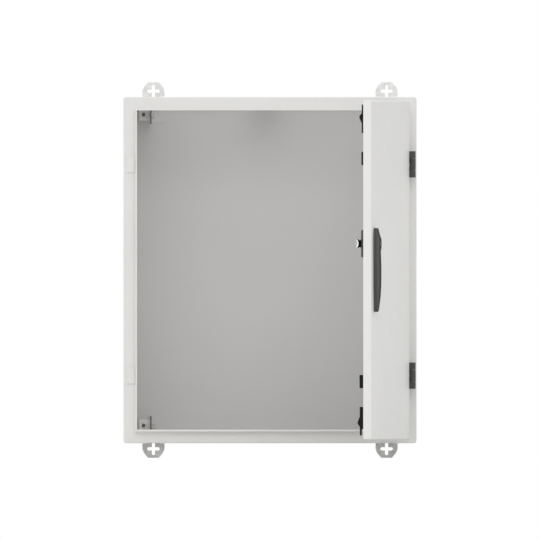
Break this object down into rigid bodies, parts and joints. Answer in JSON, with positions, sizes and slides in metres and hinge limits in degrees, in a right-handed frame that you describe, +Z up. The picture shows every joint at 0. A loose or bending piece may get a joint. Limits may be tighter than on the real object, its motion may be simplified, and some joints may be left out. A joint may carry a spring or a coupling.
{
  "type": "wall-mounted battery box",
  "caption": "Wall-mounted sheet-steel box for batteries, with a side-hung door, a lever handle, locking rods and cable entries.",
  "frame": {"origin": "centre of the cabinet's back face, in the plane of the wall", "axes": "+Y out of the back into the wall, so the front faces -Y; +Z up; +X to the hinge side, at the viewer's right"},
  "size_m": [0.55, 0.761, 0.705],
  "materials": {
    "light_grey_paint": "fine textured powder coat",
    "grey_sheet": "plain sheet, matt",
    "zinc_steel": "bright zinc plate",
    "black_metal": "black powder coat, satin",
    "black_plastic": "fine grained",
    "foam_seal": "matt foam"
  },
  "bodies": {
    "cabinet": {"cabinet_shell": "light_grey_paint", "back_panel": "grey_sheet", "wall_lug_top_left": "zinc_steel", "lug_screw_top_left_1": "zinc_steel", "lug_screw_top_left_2": "zinc_steel", "frame_bracket_top_left": "zinc_steel", "bracket_screw_top_left": "zinc_steel", "wall_lug_top_right": "zinc_steel", "lug_screw_top_right_1": "zinc_steel", "lug_screw_top_right_2": "zinc_steel", "frame_bracket_top_right": "zinc_steel", "bracket_screw_top_right": "zinc_steel", "wall_lug_bottom_left": "zinc_steel", "lug_screw_bottom_left_1": "zinc_steel", "lug_screw_bottom_left_2": "zinc_steel", "frame_bracket_bottom_left": "zinc_steel", "bracket_screw_bottom_left": "zinc_steel", "wall_lug_bottom_right": "zinc_steel", "lug_screw_bottom_right_1": "zinc_steel", "lug_screw_bottom_right_2": "zinc_steel", "frame_bracket_bottom_right": "zinc_steel", "bracket_screw_bottom_right": "zinc_steel", "hinge_cover_upper": "light_grey_paint", "hinge_mount_upper": "black_metal", "hinge_pin_upper": "zinc_steel", "hinge_clamp_upper": "zinc_steel", "hinge_mount_screw_upper": "zinc_steel", "hinge_cover_lower": "light_grey_paint", "hinge_mount_lower": "black_metal", "hinge_pin_lower": "zinc_steel", "hinge_clamp_lower": "zinc_steel", "hinge_mount_screw_lower": "zinc_steel"},
    "door": {"door_panel": "light_grey_paint", "door_gasket": "foam_seal", "handle_base": "black_plastic", "lock_plate": "zinc_steel", "lock_cover": "black_plastic", "lock_screw_1": "zinc_steel", "lock_screw_2": "zinc_steel", "hinge_leaf_upper": "black_metal", "hinge_leaf_screw_upper_1": "zinc_steel", "hinge_leaf_screw_upper_2": "zinc_steel", "rod_guide_upper": "black_plastic", "hinge_leaf_lower": "black_metal", "hinge_leaf_screw_lower_1": "zinc_steel", "hinge_leaf_screw_lower_2": "zinc_steel", "rod_guide_lower": "black_plastic"},
    "handle": {"handle_lever": "black_plastic", "spindle": "zinc_steel", "pinion": "zinc_steel", "tongue_spacer": "black_plastic", "latch_tongue": "zinc_steel", "tongue_screw": "zinc_steel"},
    "key_barrel": {"lock_barrel": "zinc_steel"},
    "upper_rod": {"upper_rod": "zinc_steel", "upper_rod_shoe": "black_plastic", "upper_shoe_rivet": "zinc_steel"},
    "lower_rod": {"lower_rod": "zinc_steel", "lower_rod_shoe": "black_plastic", "lower_shoe_rivet": "zinc_steel"}
  },
  "joints": [
    {"name": "door_swing", "type": "hinge", "parent": "cabinet", "child": "door", "pos_m": [0.268, -0.23085, 0], "axis": [0, 0, 1], "range_deg": [-82.3, 37.7]},
    {"name": "handle_turn", "type": "hinge", "parent": "door", "child": "handle", "pos_m": [0.19575, -0.72159, 0.0495], "axis": [0.991, -0.134, 0], "range_deg": [0, 90]},
    {"name": "key_turn", "type": "hinge", "parent": "handle", "child": "key_barrel", "pos_m": [0.19575, -0.72159, 0.0495], "axis": [0.991, -0.134, 0], "range_deg": [0, 90]},
    {"name": "upper_rod_slide", "type": "slide", "parent": "door", "child": "upper_rod", "axis": [0, 0, 1], "range_m": [-0.0126, 0]},
    {"name": "lower_rod_slide", "type": "slide", "parent": "door", "child": "lower_rod", "axis": [0, 0, 1], "range_m": [0, 0.0126]}
  ],
  "couplings": [
    {"joint": "upper_rod_slide", "follows": "handle_turn", "m_per_rad": -0.008},
    {"joint": "lower_rod_slide", "follows": "handle_turn", "m_per_rad": 0.008}
  ]
}
